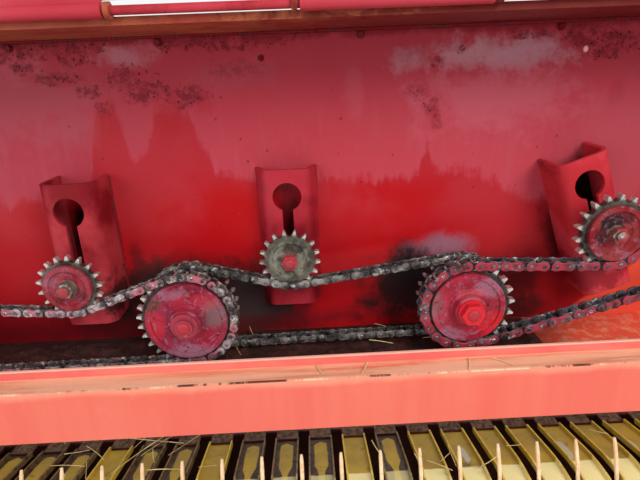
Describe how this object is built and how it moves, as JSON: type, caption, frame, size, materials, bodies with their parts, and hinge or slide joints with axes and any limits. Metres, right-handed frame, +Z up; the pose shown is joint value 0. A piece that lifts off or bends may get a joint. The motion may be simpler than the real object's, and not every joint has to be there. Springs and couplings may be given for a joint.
{
  "type": "square baler feeder drive and pickup section",
  "caption": "Front section of a square hay baler: chain-driven feeder wall with keyhole tensioners and hinged shield over a tined pickup reel on skids.",
  "frame": {"origin": "on the ground under the skids, at the middle of the part's box", "axes": "+Z up, +Y into the machine from its front, +X to the right as seen from the front"},
  "size_m": [1.706, 0.78, 1.7674],
  "materials": {
    "red_paint": "faded, dusty and oil-stained red paint",
    "yellow_paint": "dull yellow paint worn to brown",
    "worn_steel": "bare greasy steel with bright teeth",
    "chain_steel": "oiled steel chain with paint overspray",
    "dark_steel": "worn painted steel",
    "tine_steel": "dusty spring steel"
  },
  "bodies": {
    "frame": {"side_plate_left": "red_paint", "side_plate_right": "red_paint", "skid_left": "dark_steel", "skid_right": "dark_steel", "front_wall": "red_paint", "wall_ribs": "red_paint", "trough_sheet": "red_paint", "front_beam": "red_paint", "top_ledge": "red_paint", "rear_cross_tubes": "red_paint", "hinge_rod": "red_paint", "bracket_left": "red_paint", "bracket_middle": "red_paint", "bracket_right": "red_paint", "idler_left": "worn_steel", "idler_middle": "worn_steel", "idler_right": "worn_steel", "idler_cap_left": "red_paint", "idler_cap_right": "red_paint", "idler_bolt_left": "dark_steel", "idler_bolt_middle": "dark_steel", "idler_bolt_right": "dark_steel", "drive_sprocket_left": "worn_steel", "drive_sprocket_right": "worn_steel", "sprocket_disc_left": "red_paint", "sprocket_disc_right": "red_paint", "drive_shaft_left": "dark_steel", "drive_shaft_right": "dark_steel", "shaft_bearings": "dark_steel", "end_sprocket_left": "worn_steel", "end_sprocket_right": "worn_steel", "end_shaft_left": "dark_steel", "end_shaft_right": "dark_steel", "chain_left": "chain_steel", "chain_middle": "chain_steel", "chain_right": "chain_steel", "stripper_bands": "yellow_paint", "feed_floor": "red_paint", "lower_band_rail": "red_paint", "reel_back_sheets": "red_paint", "reel_bearings": "dark_steel"},
    "shield": {"shield_sheet": "red_paint", "shield_handle": "dark_steel"},
    "reel": {"reel_tube": "dark_steel", "reel_discs": "red_paint", "tine_bars": "red_paint", "tines": "tine_steel"}
  },
  "joints": [
    {"name": "shield_hinge", "type": "hinge", "parent": "frame", "child": "shield", "pos_m": [0, -0.138, 1.2633], "axis": [1, 0, 0], "range_deg": [0, 192]},
    {"name": "reel_spin", "type": "hinge", "parent": "frame", "child": "reel", "pos_m": [0, -0.115, 0.318], "axis": [1, 0, 0], "continuous": true}
  ]
}
